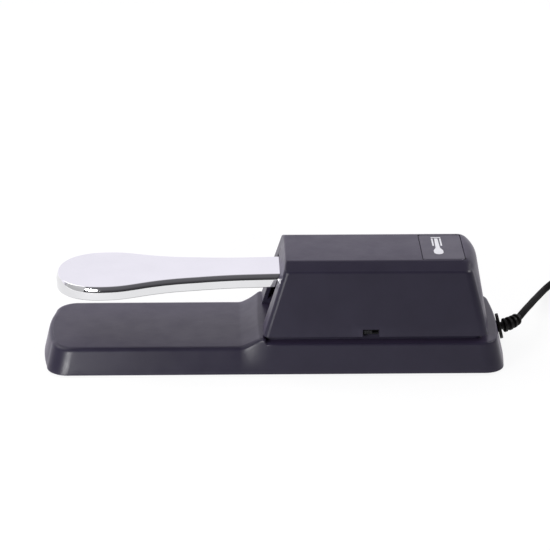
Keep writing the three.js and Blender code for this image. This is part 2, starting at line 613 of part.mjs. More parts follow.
// The bend protector: a flange on the rear wall and a ribbed sleeve that bends with the cord.
function strainRelief() {
  const outer = GAP + GLAND.thickness;
  const rim = [[0, -6], [3.3, -6], [3.3, GAP], [GLAND.flange, GAP], [GLAND.flange, outer], [0, outer]];
  const flange = atGland(turned(rim, 0, 0, 28));
  const start = [glandX + 1, GLAND.y, GLAND.z + 0.2];
  const axis = [start, [126.7, 4.7, 10.8], [130, 6.3, 11.3], [133, 8.9, 11.7], RELIEF_TIP];
  const path = new THREE.CatmullRomCurve3(axis.map((p) => new THREE.Vector3(...p)));
  const ribs = [[0.22, 3.9], [0.41, 3.8], [0.6, 3.6], [0.79, 3.4]].map(([at, radius]) => {
    const from = path.getPointAt(at - 0.05);
    const to = path.getPointAt(at + 0.05);
    return tube([from.toArray(), to.toArray()], radius, 12, 1);
  });
  return union([flange, tube(axis, 2.5, 8, 10), ...ribs]);
}

const RUN = [
  [136, 13.3, 11.95], [138.5, 19, 11.9], [141, 25.5, 11.3], [143.2, 31.5, 10.5], [145.3, 37.5, 9.5],
  [147.2, 43.5, 8.4], [149, 49.3, 7.2], [151.9, 58.2, 5.4], [155.7, 69, 3.6], [159.3, 77.8, 2.5],
  [163.3, 85.4, CORD_Z], [168.2, 91.6, CORD_Z], [175, 95.7, 2.2], [183.3, COIL.y + COIL.route, 2.5],
];

function buildCord() {
  piece('strain_relief', strainRelief(), LOOKS.rubber);
  piece('cord_run', tube(RUN, CORD_RADIUS, 8, 22), LOOKS.cord);
  const coil = turned(ring(COIL.inner, COIL.outer, COIL.z0, COIL.z1), COIL.x, COIL.y, 40);
  piece('cord_coil', coil, LOOKS.cord);
  const plugX = COIL.x + COIL.route;
  const tail = [[plugX, 52, 12.6], [plugX, 46.5, 9.9], [plugX, 41, 7.5], [plugX, 35.7, PLUG_Z]];
  piece('cord_tail', tube(tail, CORD_RADIUS, 8, 6), LOOKS.cord);
  buildTie();
  buildPlug(plugX, 35);
}

// The tie: a strap that wraps the coil's section on its near left side.
function buildTie() {
  const clearance = 1;
  const skin = 0.6;
  const hole = box(COIL.inner - clearance, COIL.outer + clearance, -9, 9, skin, COIL.z1 + clearance);
  const reach = clearance + skin;
  const strap = box(COIL.inner - reach, COIL.outer + reach, -4, 4, 0, COIL.z1 + reach);
  piece('cord_tie', strap.subtract(hole).rotate([0, 0, 215]).translate([COIL.x, COIL.y, 0]), LOOKS.rubber);
}

// A 6.35 mm phone plug that lies along Y, its handle's cord end at y.
function buildPlug(x, y) {
  const lay = (shape) => shape.rotate([90, 0, 0]).translate([x, y, PLUG_Z]);
  const handle = [[0, 0], [3.4, 0], [4.4, 6], [6.2, 9], [6.4, 12], [6.4, 36], [5.6, 38], [0, 38]];
  const sleeve = [[0, 38.3], [4.6, 38.3], [4.6, 39.8], [3.17, 39.8], [3.17, 60.8], [0, 60.8]];
  const insulator = [[0, 61.1], [3.17, 61.1], [3.17, 62.2], [0, 62.2]];
  const tip = [[0, 62.5], [3.17, 62.5], [2.3, 64.8], [3.17, 67.2], [1.6, 70.5], [0, 70.8]];
  piece('plug_handle', lay(turned(handle)), LOOKS.black);
  piece('plug_sleeve', lay(turned(sleeve)), LOOKS.chrome);
  piece('plug_insulator', lay(turned(insulator)), LOOKS.black);
  piece('plug_tip', lay(turned(tip)), LOOKS.chrome);
}

buildCasing();
buildScrews();
buildLever();
buildPivot();
buildSpring();
buildStops();
buildSwitches();
buildWires();
buildCord();

export default pedal;
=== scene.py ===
"""Sustain pedal: the looks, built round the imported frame, which is in metres. Shapes are worked out in
millimetres and scaled by MM when a mesh is made."""
import json
import math

import bmesh
import bpy
from mathutils import Matrix, Vector


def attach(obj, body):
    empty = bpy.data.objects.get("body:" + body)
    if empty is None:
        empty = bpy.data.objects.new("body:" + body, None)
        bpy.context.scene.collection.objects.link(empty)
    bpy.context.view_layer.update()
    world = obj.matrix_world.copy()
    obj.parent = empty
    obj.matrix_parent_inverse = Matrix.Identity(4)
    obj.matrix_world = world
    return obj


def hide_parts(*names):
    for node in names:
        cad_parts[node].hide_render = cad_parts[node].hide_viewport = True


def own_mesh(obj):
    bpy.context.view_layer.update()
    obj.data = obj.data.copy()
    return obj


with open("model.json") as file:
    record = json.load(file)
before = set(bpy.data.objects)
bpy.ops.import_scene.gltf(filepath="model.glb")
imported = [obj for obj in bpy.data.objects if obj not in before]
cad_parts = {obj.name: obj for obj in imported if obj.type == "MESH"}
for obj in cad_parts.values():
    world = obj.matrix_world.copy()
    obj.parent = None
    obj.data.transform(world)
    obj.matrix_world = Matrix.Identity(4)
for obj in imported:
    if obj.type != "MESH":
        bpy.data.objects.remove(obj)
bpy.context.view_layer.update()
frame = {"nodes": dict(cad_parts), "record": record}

MM = 0.001
SLIVER = 1e-7  # metres; a smaller distance counts as none
scene = bpy.context.scene
scene.view_settings.view_transform = "Standard"

# ---- camera ----

CAMERA_AT = (-33.8, -1273.1, 557.7)
CAMERA_DOWN = math.radians(22)
CAMERA_YAW = math.radians(1.55)
CAMERA_ROLL = math.radians(0.26)
CAMERA_LENS = 166.06  # on a 36 mm sensor


def add_camera():
    """The camera looks along +Y and down, a little to the right, with a slight roll."""
    data = bpy.data.cameras.new("camera")
    data.lens = CAMERA_LENS
    data.sensor_width = 36
    data.clip_start = 0.05
    data.clip_end = 20
    camera = bpy.data.objects.new("camera", data)
    scene.collection.objects.link(camera)
    turn = Matrix.Rotation(-CAMERA_YAW, 4, "Z") @ Matrix.Rotation(math.pi / 2 - CAMERA_DOWN, 4, "X")
    roll = Matrix.Rotation(CAMERA_ROLL, 4, "Z")
    camera.matrix_world = Matrix.Translation(Vector(CAMERA_AT) * MM) @ turn @ roll
    scene.camera = camera


add_camera()

# ---- mesh helpers ----


def new_object(name, points, faces, smooth=True):
    """An object from points in millimetres."""
    mesh = bpy.data.meshes.new(name)
    mesh.from_pydata([tuple(c * MM for c in p) for p in points], [], faces)
    obj = bpy.data.objects.new(name, mesh)
    scene.collection.objects.link(obj)
    tidy(obj)
    if smooth:
        mesh.shade_smooth()
    return obj


def tidy(obj, merge=1e-6):
    """Merges points that coincide, drops collapsed faces and turns every face outwards."""
    work = bmesh.new()
    work.from_mesh(obj.data)
    bmesh.ops.remove_doubles(work, verts=work.verts, dist=merge)
    bmesh.ops.dissolve_degenerate(work, edges=work.edges, dist=merge)
    loose = [v for v in work.verts if not v.link_faces]
    bmesh.ops.delete(work, geom=loose, context="VERTS")
    bmesh.ops.recalc_face_normals(work, faces=work.faces)
    work.to_mesh(obj.data)
    work.free()


def ring_stack(name, rings, wrap=False, smooth=True):
    """A skin through rings of equal point counts; the ends are capped unless the stack wraps round."""
    count = len(rings[0])
    levels = len(rings)
    points = [p for ring in rings for p in ring]
    faces = []
    for level in range(levels if wrap else levels - 1):
        low = level * count
        high = ((level + 1) % levels) * count
        for i in range(count):
            j = (i + 1) % count
            faces.append((low + i, low + j, high + j, high + i))
    if not wrap:
        faces.append(tuple(reversed(range(count))))
        faces.append(tuple(range((levels - 1) * count, levels * count)))
    return new_object(name, points, faces, smooth)


def lathe(name, profile, sides=48, place=None):
    """A turned solid about local Z from (radius, z) pairs; place puts it in the frame, in millimetres."""
    place = place or Matrix()
    wrap = profile[0] == profile[-1]
    rings = []
    for radius, z in profile[:-1] if wrap else profile:
        turn = [2 * math.pi * i / sides for i in range(sides)]
        rings.append([place @ Vector((radius * math.cos(a), radius * math.sin(a), z)) for a in turn])
    return ring_stack(name, rings, wrap)


def arc(start, corner, end, steps):
    """A rounded corner between two points, drawn towards the corner point."""
    shares = [k / steps for k in range(steps + 1)]
    return [start * (1 - t) ** 2 + corner * 2 * t * (1 - t) + end * t * t for t in shares]


def eased(points, reach, steps=4):
    """A polyline in the plane with each inner corner eased over the given reach on both sides."""
    points = [Vector(p) for p in points]
    out = [points[0]]
    for before, here, after in zip(points, points[1:], points[2:]):
        start = here + (before - here).normalized() * min(reach, (before - here).length * 0.49)
        end = here + (after - here).normalized() * min(reach, (after - here).length * 0.49)
        out += arc(start, here, end, steps)
    out.append(points[-1])
    return [tuple(p) for p in out]


def box_object(name, low, high):
    """A box between two corners."""
    xs, ys, zs = zip(low, high)
    points = [(x, y, z) for x in xs for y in ys for z in zs]
    faces = [(0, 1, 3, 2), (4, 6, 7, 5), (0, 4, 5, 1), (2, 3, 7, 6), (0, 2, 6, 4), (1, 5, 7, 3)]
    return new_object(name, points, faces, smooth=False)


def prism_object(name, outline, z0, z1):
    """A prism along Z through a list of (x, y)."""
    return ring_stack(name, [[(x, y, z) for x, y in outline] for z in (z0, z1)], smooth=False)


def apply_modifiers(obj):
    """Keeps the shape that an object's modifiers give it, and drops the modifiers."""
    bpy.context.view_layer.update()
    shaped = obj.evaluated_get(bpy.context.evaluated_depsgraph_get())
    mesh = bpy.data.meshes.new_from_object(shaped)
    old = obj.data
    obj.modifiers.clear()
    obj.data = mesh
    mesh.name = obj.name
    bpy.data.meshes.remove(old)


def carve(obj, tools):
    """Cuts the tools out of an object, one after another, and removes them."""
    for tool in tools:
        change = obj.modifiers.new("carve", "BOOLEAN")
        change.operation = "DIFFERENCE"
        change.solver = "EXACT"
        change.object = tool
        apply_modifiers(obj)
        bpy.data.objects.remove(tool)
    return obj


def split(obj, *planes):
    """Divides the faces along planes, each a point and a normal, so that a hole cut later never lies
    inside one face."""
    work = bmesh.new()
    work.from_mesh(obj.data)
    for point, normal in planes:
        everything = work.verts[:] + work.edges[:] + work.faces[:]
        bmesh.ops.bisect_plane(work, geom=everything, plane_co=Vector(point) * MM, plane_no=normal,
                               dist=SLIVER)
    work.to_mesh(obj.data)
    work.free()


def soften(obj, width, zones=None, angle=35, segments=2):
    """Rounds the edges sharper than the angle; zones, pairs of corners, limit it to the edges inside
    them."""
    work = bmesh.new()
    work.from_mesh(obj.data)

    def within(edge, low, high):
        return all(low[i] * MM <= v.co[i] <= high[i] * MM for v in edge.verts for i in range(3))

    def chosen(edge):
        if len(edge.link_faces) != 2 or edge.calc_face_angle(0) <= math.radians(angle):
            return False
        return zones is None or any(within(edge, low, high) for low, high in zones)

    sharp = [edge for edge in work.edges if chosen(edge)]
    bmesh.ops.bevel(work, geom=sharp, offset=width * MM, offset_type="OFFSET", segments=segments,
                    profile=0.5, affect="EDGES", clamp_overlap=False)
    bmesh.ops.dissolve_degenerate(work, edges=work.edges, dist=SLIVER)
    work.to_mesh(obj.data)
    work.free()
    return flat_faced(obj)


def flat_faced(obj):
    """Smooth shading whose normals follow the larger faces, so that flats stay flat."""
    obj.data.shade_smooth()
    weights = obj.modifiers.new("weights", "WEIGHTED_NORMAL")
    weights.weight = 80
    apply_modifiers(obj)
    return obj


def joined(name, pieces):
    """Several meshes as one object."""
    whole = bmesh.new()
    for part in pieces:
        whole.from_mesh(part.data)
    mesh = bpy.data.meshes.new(name)
    whole.to_mesh(mesh)
    whole.free()
    for part in pieces:
        bpy.data.objects.remove(part)
    obj = bpy.data.objects.new(name, mesh)
    scene.collection.objects.link(obj)
    return flat_faced(obj)


def catmull(points, per=8):
    """A smooth curve through points, with the given number of steps between each pair."""
    points = [Vector(p) for p in points]
    ends = [points[0] * 2 - points[1], *points, points[-1] * 2 - points[-2]]
    out = []
    for a, b, c, d in zip(ends, ends[1:], ends[2:], ends[3:]):
        for k in range(per):
            t = k / per
            out.append(0.5 * (2 * b + (c - a) * t + (2 * a - 5 * b + 4 * c - d) * t * t
                              + (3 * b - a - 3 * c + d) * t ** 3))
    out.append(points[-1])
    return out


def run_length(points):
    """The length of a polyline."""
    return sum((b - a).length for a, b in zip(points, points[1:]))


def tube_rings(path, radii, sides=24):
    """Rings round a path, carried along it without twist; radii has one for each point."""
    rings = []
    side = None
    for i, point in enumerate(path):
        ahead = (path[min(i + 1, len(path) - 1)] - path[max(i - 1, 0)]).normalized()
        side = side or ahead.orthogonal()
        side = (side - ahead * side.dot(ahead)).normalized()
        up = ahead.cross(side)
        turn = [2 * math.pi * k / sides for k in range(sides)]
        rings.append([point + (side * math.cos(a) + up * math.sin(a)) * radii[i] for a in turn])
    return rings


def smoothstep(low, high, x):
    """0 at low and 1 at high, with a smooth start and end."""
    t = min(max((x - low) / (high - low), 0), 1)  # low may be the greater of the two
    return t * t * (3 - 2 * t)


def mix(a, b, t):
    """The point a share t of the way from a to b."""
    return a + (b - a) * t


# ---- cord ----

CORD_DIAMETER = 4
CORD_LENGTH = 1800
RELIEF_TIP = (135.4, 12.4, 11.9)
COIL_CENTRE = (200, 69)
COIL_ROUTE = 28.4  # radius of the outermost turn's centreline
COIL_TURNS = 11.25
COIL_LAYERS = 4
COIL_LOW = 2.9  # centre height of the lowest layer
COIL_PITCH = 4.1  # between layers
RISE_TURNS = 0.25  # share of a turn in which the cord climbs to the next layer
STEPS_A_TURN = 40
PLUG_Z = 6.6
RUN = [
    RELIEF_TIP, (136, 13.3, 11.95), (138.5, 19, 11.9), (141, 25.5, 11.3), (143.2, 31.5, 10.5),
    (145.3, 37.5, 9.5), (147.2, 43.5, 8.4), (149, 49.3, 7.2), (151.9, 58.2, 5.4), (155.7, 69, 3.6),
    (159.3, 77.8, 2.5), (163.3, 85.4, 2.05), (168.2, 91.6, 2.05), (175, 95.7, 2.2), (183.3, 97.4, 2.5),
    (191.7, 97.4, 2.8), (200, 97.4, 2.9),
]
TAIL = [
    (228.4, 69, 15.2), (228.4, 62, 14.9), (228.4, 56, 13.8), (228.4, 51, 12), (228.4, 46, 9.8),
    (228.4, 41, 7.6), (228.4, 36, 6.65), (228.4, 31, PLUG_Z),
]


def coil_points(inner):
    """The coil's centreline: each layer spirals between the outer and the inner radius, and a short
    climb at that radius joins it to the next layer."""
    per_layer = (COIL_TURNS - RISE_TURNS * (COIL_LAYERS - 1)) / COIL_LAYERS
    steps = int(COIL_TURNS * STEPS_A_TURN)
    points = []
    for i in range(1, steps):
        turn = COIL_TURNS * i / steps
        layer = min(int(turn / (per_layer + RISE_TURNS)), COIL_LAYERS - 1)
        inside = turn - layer * (per_layer + RISE_TURNS)
        share = min(inside / per_layer, 1)
        climb = smoothstep(0, 1, max(0, inside - per_layer) / RISE_TURNS)
        going_in = layer % 2 == 0
        radius = COIL_ROUTE + (inner - COIL_ROUTE) * (share if going_in else 1 - share)
        angle = math.pi / 2 - 2 * math.pi * turn
        points.append(Vector((COIL_CENTRE[0] + radius * math.cos(angle),
                              COIL_CENTRE[1] + radius * math.sin(angle),
                              COIL_LOW + COIL_PITCH * (layer + climb))))
    return points


def cord_path():
    """The centreline from the bend protector through the coil to the plug. The coil's inner radius
    follows from the length that it has to take up."""
    run = catmull(RUN, 6)
    tail = catmull(TAIL, 5)
    left = CORD_LENGTH - run_length(run) - run_length(tail)
    mean = left / (2 * math.pi * COIL_TURNS)
    return run + coil_points(2 * mean - COIL_ROUTE) + tail


def add_cord():
    path = cord_path()
    cord = ring_stack("cord", tube_rings(path, [CORD_DIAMETER / 2] * len(path), 16))
    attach(cord, "base")
    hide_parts("cord_run", "cord_coil", "cord_tail")
    return cord


cord = add_cord()

# ---- outlines ----


class Outline:
    """A bowed rectangle with round corners seen from above, walked counter-clockwise from its front
    near corner. Each place on it is ("corner", which, angle), ("side", sign, x) or ("end", sign, share)."""

    def __init__(self, sides, corner_steps=10, end_steps=12):
        turn = [i / corner_steps * 90 for i in range(corner_steps + 1)]
        across = [i / end_steps * 2 - 1 for i in range(1, end_steps)]
        self.places = (
            [("corner", (-1, -1), 180 + a) for a in turn] + [("side", -1, x) for x in sides]
            + [("corner", (1, -1), 270 + a) for a in turn] + [("end", 1, s) for s in across]
            + [("corner", (1, 1), a) for a in turn] + [("side", 1, x) for x in reversed(sides)]
            + [("corner", (-1, 1), 90 + a) for a in turn] + [("end", -1, -s) for s in across])

    @staticmethod
    def facing(place):
        """Which end and which side a place looks towards, each -1, 0 or 1, and the share of its
        direction that points along X."""
        kind, which, value = place
        if kind == "corner":
            return which[0], which[1], abs(math.cos(math.radians(value)))
        return (which, 0, 1) if kind == "end" else (0, which, 0)

    @staticmethod
    def point(place, shape, z):
        """Where a place lies; shape(x, z) gives the ends, bows, corners and half width there."""
        kind, which, value = place
        if kind == "side":
            return Vector((value, which * shape(value, z)["half"]))
        toward = which[0] if kind == "corner" else which
        ends = shape(toward * 1000, z)
        end, bow, corner = ends["rear" if toward > 0 else "front"]
        centre_x = end - toward * corner
        reach = shape(centre_x, z)["half"] - corner
        if kind == "corner":
            angle = math.radians(value)
            y = which[1] * reach + corner * math.sin(angle)
            return Vector((centre_x + corner * math.cos(angle), y))
        return Vector((end + toward * bow * (1 - value * value), value * reach))


# ---- base ----

BASE_RIM_Z = 0.8
BASE_WALL = 2.6
BASE_FRONT = (-122.5, 0.235, 2.5, 12)  # place at the rim, draft, bow and corner radius
BASE_REAR = (123.6, 0.245, 1.4, 11)
BASE_HALF = 37.5
SIDE_DRAFT = (0.36, 0.09)  # beside the tread, and behind the ramp
DRAFT_TURNS = (-19, 0)  # from where to where along X the one turns into the other
BASE_RIM = [  # height and inset round the rim, from the inside to the outside
    (2.2, BASE_WALL), (BASE_RIM_Z + 0.4, BASE_WALL - 0.1), (BASE_RIM_Z, BASE_WALL - 0.6),
    (BASE_RIM_Z, 0.7), (BASE_RIM_Z + 0.15, 0.2), (BASE_RIM_Z + 0.7, 0),
]
BASE_STATIONS = [  # places along the sides, closest on the ramp and its ridge
    -105, -85, -60, -40, -30, -24, -21, -19.5, -18.6, -17.9, -17, -16, -15, -14, -13, -12, -11, -10.2,
    -9.6, -9.2, -8.8, -8.5, -8.2, -7.9, -7.6, -7.3, -7, -6.7, -6.3, -5.9, -5.5, -5.2, -4.9, -4.6, -4.3,
    -3, -1, 3, 12, 30, 55, 80, 100,
]
TREAD_Z = 14.4
LEDGE_Z = 17.7
DECK_Z = 20
RAMP = (-17.9, -7.8)
RAMP_RISE = (0.35, 0.0204)  # the ramp's slope at its foot, and how fast it steepens
STEP = (-6.3, -4.3)  # where the ridge drops to the ledge round the housing
PLINTH_HALF = 28.6
PLINTH_REAR = (110.3, 1.5, 3.2)  # place, bow and corner radius
PLINTH_AHEAD = 0.9  # share of the half width at which its line runs down the ramp
PLINTH_TURNS = (-30, -9)  # along X, from that line to the plinth's full width
RIDGE_BOW = 1.0
TREAD_CROWN = 0.35
BASE_EDGE = (1.9, 1.1)  # reach of the rounding along the tread's edge, and along the ledge's
EDGE_TURNS = (-9, -4)  # along X
CEILING_STEP_X = -11  # behind it the inside is as high as the ledge allows
SPRING_X = 24
STOP_POST = (3.6, 18, 37.4)  # radius, foot and top


def base_shape(inset=0.0):
    """The base's outline at a height, brought in by an inset."""
    front, front_draft, front_bow, front_corner = BASE_FRONT
    rear, rear_draft, rear_bow, rear_corner = BASE_REAR

    def shape(x, z):
        rise = z - BASE_RIM_Z
        draft = mix(*SIDE_DRAFT, smoothstep(*DRAFT_TURNS, x))
        return {
            "front": (front + front_draft * rise + inset, front_bow, front_corner - inset),
            "rear": (rear - rear_draft * rise - inset, rear_bow, rear_corner - inset),
            "half": BASE_HALF - draft * rise - inset,
        }
    return shape


def ramp_profile():
    """The side view of the tread, the ramp and the deck."""
    slope, steepening = RAMP_RISE
    ramp = []
    for i in range(7):
        run = (RAMP[1] - RAMP[0]) * i / 6
        ramp.append((RAMP[0] + run, TREAD_Z + slope * run + steepening * run * run))
    ramp[-1] = (RAMP[1], DECK_Z)
    head = eased([(-130, TREAD_Z), ramp[0], ramp[1]], 1.5)[:-1]
    tail = eased([ramp[-2], ramp[-1], (130, DECK_Z)], 0.7, 6)[1:]
    return head + ramp[1:-1] + tail


RAMP_PROFILE = ramp_profile()


def along(profile, x):
    """The height of a profile at x."""
    for (x0, z0), (x1, z1) in zip(profile, profile[1:]):
        if x <= x1:
            return mix(z0, z1, (x - x0) / (x1 - x0)) if x1 > x0 else z1
    return profile[-1][1]


def top_z(x, y):
    """Height of the tread, the ramp and the deck, whose ridge bows towards the lever's tip."""
    across = max(0, 1 - (y / 34) ** 2)
    crown = TREAD_CROWN * across * smoothstep(RAMP[1], RAMP[0], x)
    return along(RAMP_PROFILE, x + RIDGE_BOW * across) + crown


def ledge_z(x):
    """Height of the ledge round the housing, which the ridge drops to."""
    return DECK_Z - (DECK_Z - LEDGE_Z) * smoothstep(*STEP, x)


def plinth_point(outline, place, start):
    """The foot of the raised deck, inside the housing's edge; ahead of the ledge it is a line on the
    ramp."""
    kind, which, value = place
    if kind == "side":
        ahead = start.y * which * PLINTH_AHEAD
        half = mix(ahead, PLINTH_HALF, smoothstep(*PLINTH_TURNS, value))
        return Vector((value, which * half))
    toward = which[0] if kind == "corner" else which
    if toward < 0:
        return Vector((start.x, start.y * PLINTH_AHEAD))
    return outline.point(place, lambda x, z: {"rear": PLINTH_REAR, "half": PLINTH_HALF}, LEDGE_Z)


def build_base():
    """The shell, column by column round its outline: down the inside, round the rim, up the wall and
    in over the top to the middle line. The lower stop's post stands on its deck."""
    outline = Outline(BASE_STATIONS, corner_steps=12, end_steps=16)
    columns = []
    for place in outline.places:
        def at(z, inset=0.0):
            flat = outline.point(place, base_shape(inset), z)
            return Vector((flat.x, flat.y, z))
        far = at(TREAD_Z)
        edge_z = min(ledge_z(far.x), along(RAMP_PROFILE, far.x))
        ceiling = (LEDGE_Z if far.x > CEILING_STEP_X else TREAD_Z) - BASE_WALL
        edge = at(edge_z)
        reach = mix(*BASE_EDGE, smoothstep(*EDGE_TURNS, far.x))
        inner = at(edge_z, reach)
        below = at(edge_z - reach)
        column = [at(ceiling, BASE_WALL)] + [at(z, inset) for z, inset in BASE_RIM]
        column += [mix(column[-1], below, t) for t in (0.25, 0.5, 0.75)]
        column += [at(mix(column[-1].z, below.z, 0.6))]
        column += arc(below, edge, inner, 7)
        foot = plinth_point(outline, place, inner)
        on_ledge = far.x > STEP[0] - 0.5

        def upon(flat, raised):
            z = min(top_z(flat.x, flat.y), DECK_Z if raised else ledge_z(flat.x))
            return Vector((flat.x, flat.y, z))

        start = inner.xy
        column += [upon(mix(start, foot, t), False) for t in (0.15, 0.35, 0.6, 0.85)]
        column += [upon(foot + (start - foot) * 0.03, False), upon(foot, on_ledge)]
        column += [upon(Vector((foot.x, foot.y * f)), True) for f in (0.985, 0.9, 0.7, 0.5, 0.3, 0.1, 0)]
        columns.append(column)
    rings = [list(ring) for ring in zip(*columns)]
    middle = [Vector((p.x, 0, p.z)) for p in rings[0]]
    shell = ring_stack("base_body", [middle, *rings])
    radius, low, high = STOP_POST
    profile = [(0, low), (radius, low), (radius, high), (0, high)]
    post = lathe("post", eased(profile, 0.5), 40, Matrix.Translation((SPRING_X, 0, 0)))
    return joined("base_body", [shell, post])


# ---- housing ----

COVER_BOTTOM_Z = 20.3
COVER_TOP_Z = 59.3
COVER_WALL = 2.4
COVER_FRONT = (-6.2, 0.308, 3)  # place at the foot, lean and corner radius
COVER_REAR = (114.3, 0.253, 5)
REAR_BOW = (1.5, 0.065)  # at the foot, and how fast it grows with height
COVER_HALF = (32.6, 0.129)  # at the foot, and how fast it shrinks with height
COVER_FOOT = (5.2, 23)  # wall and top of the thicker foot
ROOF_HALF = 19.4
ROOF_SLOPE = 0.386
ROOF_CROWN = 0.3
SLOT = (15.2, 49.7)  # half width and top
WINDOW = (46.9, 55.6, 24.2)  # from x to x, and top
BADGE = (79, 102, 18)  # from x to x, and half width
BADGE_DEPTH = 1.0
BADGE_SUNK = 0.3
SWITCH_ROOM = ((43.6, -28.8, 0), (59.4, -20, COVER_FOOT[1] + 1))
EAVES = (4.6, 0.9)  # reach of the rounding over the rear wall, and over the other walls


def cover_shape(inset=0.0):
    """The housing's outline at a height, brought in by an inset."""
    front, front_lean, front_corner = COVER_FRONT
    rear, rear_lean, rear_corner = COVER_REAR

    def shape(x, z):
        rise = z - COVER_BOTTOM_Z
        return {
            "front": (front + front_lean * rise + inset, 0, max(front_corner - inset, 0.5)),
            "rear": (rear - rear_lean * rise - inset, REAR_BOW[0] + REAR_BOW[1] * rise,
                     max(rear_corner - inset, 0.8)),
            "half": COVER_HALF[0] - COVER_HALF[1] * rise - inset,
        }
    return shape


def roof_z(y, drop=0.0):
    """Height of the roof, which is crowned across its flat and slopes down beside it."""
    crown = ROOF_CROWN * min(1, (y / ROOF_HALF) ** 2)
    slope = ROOF_SLOPE * max(0, abs(y) - ROOF_HALF)
    return COVER_TOP_Z - drop - crown - slope


def cover_skin(name, inset, bottom, rounding):
    """The housing's outside, or its inside when brought in by a wall: walls, eaves and a roof with two
    sloping margins. rounding scales the eased edges."""
    outline = Outline([20, 40, 60, 80], corner_steps=8, end_steps=20)
    columns = []
    for place in outline.places:
        def at(z, more=0.0):
            flat = outline.point(place, cover_shape(inset + more), z)
            return Vector((flat.x, flat.y, z))
        z = COVER_TOP_Z
        for _ in range(6):  # closes in on the height where the wall meets the roof
            z = roof_z(at(z).y, inset)
        edge = at(z)
        toward, aside, turn = outline.facing(place)
        over_end = rounding * (EAVES[0] if toward > 0 else EAVES[1])
        over_side = rounding * EAVES[1]
        across = math.sqrt(max(0, 1 - turn * turn))
        flat = edge.xy - Vector((toward * turn * over_end, aside * across * over_side))
        inner = Vector((flat.x, flat.y, roof_z(flat.y, inset)))
        below = at(edge.z - mix(over_side, over_end, turn * turn))
        column = [at(bottom, 0.3 * rounding), at(bottom + 0.08, 0.1 * rounding), at(bottom + 0.3)]
        column += [at(mix(bottom + 0.3, below.z, t)) for t in (0.3, 0.6, 0.9)]
        column += arc(below, edge, inner, 8)
        lean = {-1: COVER_FRONT[1], 0: 0, 1: -COVER_REAR[1]}[toward]
        for away, ease in ((0.9, 0), (0.3, 0.06), (-0.3, 0.06), (-0.9, 0)):
            half = ROOF_HALF + away * rounding
            y = min(max(inner.y, -half), half)
            height = roof_z(y, inset)
            x = inner.x + lean * (height - inner.z)
            eased_by = ease * rounding if abs(inner.y) > half else 0
            column.append(Vector((x, y, height - eased_by)))
        columns.append(column)
    return ring_stack(name, [list(ring) for ring in zip(*columns)])


def build_housing():
    """The cover with its room, thicker foot, slot for the lever, window and recess for the badge."""
    shell = cover_skin("housing_body", 0, COVER_BOTTOM_Z, 1)
    room = cover_skin("room", COVER_WALL, COVER_FOOT[1], 0.15)
    low_room = cover_skin("low_room", COVER_FOOT[0], COVER_BOTTOM_Z - 5, 0.15)
    half, top = SLOT
    x0, x1, high = WINDOW
    b0, b1, b_half = BADGE
    lengthwise = [((0, y, 0), (0, 1, 0)) for y in (-13, -6.5, 0, 6.5, 13)]
    split(shell, ((b0 + 5, 0, 0), (1, 0, 0)), *lengthwise)
    carve(shell, [
        room,
        low_room,
        box_object("switch_room", *SWITCH_ROOM),
        box_object("slot", (-20, -half, 0), (8, half, top)),
        box_object("window", (x0, -45, 0), (x1, -27, high)),
        box_object("recess", (b0, -b_half, COVER_TOP_Z - BADGE_DEPTH), (b1, b_half, COVER_TOP_Z + 5)),
    ])
    at_cut = [
        ((-20, -half - 0.1, 0), (8.1, half + 0.1, top + 0.1)),
        ((x0 - 0.1, -45, 0), (x1 + 0.1, -27, high + 0.1)),
        ((b0 - 0.1, -b_half - 0.1, 58), (b1 + 0.1, b_half + 0.1, 60)),
    ]
    return soften(shell, 0.3, at_cut)


# ---- lever ----

PIVOT = Vector((82, 0, 42.6))
LEVER_SLOPE = 0.021
LEVER_TOP = 8.2
LEVER_DEPTH = 7.7
LEVER_SKIN = 2
LEVER_END_X = 10
LEVER_END_CORNER = 3
TIP_X = -199.4  # from the pivot
PAD_CENTRE_X = -174
PAD_HALF = 26.2
PAD_POWER = 2.2  # of the superellipse round the tip
FLARE = (0.34, 2.6)  # share of the way at which the pad has half narrowed, and how sharply
NECK_START_X = -94
NECK_HALF = 13.6
LEVER_EDGE = 0.45  # radius along the top's edge
LEVER_BAND = 2.8  # depth of the leaning band below it
BAND_LEAN = (24, 12)  # degrees from upright, at its top and its foot
HUB = (3.35, 6.3, 1)  # bore radius, outer radius and half its length
TO_LEVER = Matrix.Translation(PIVOT) @ Matrix.Rotation(-LEVER_SLOPE, 4, "Y")


def lever_half(x):
    """The lever's half width at x: a rounded pad that narrows into the neck."""
    if x < PAD_CENTRE_X:
        share = min((PAD_CENTRE_X - x) / (PAD_CENTRE_X - TIP_X), 1)
        return PAD_HALF * (1 - share ** PAD_POWER) ** (1 / PAD_POWER)
    share = min((x - PAD_CENTRE_X) / (NECK_START_X - PAD_CENTRE_X), 1)
    flare = (1 - smoothstep(0.6, 1, share)) / (1 + (share / FLARE[0]) ** FLARE[1])
    return NECK_HALF + (PAD_HALF - NECK_HALF) * flare


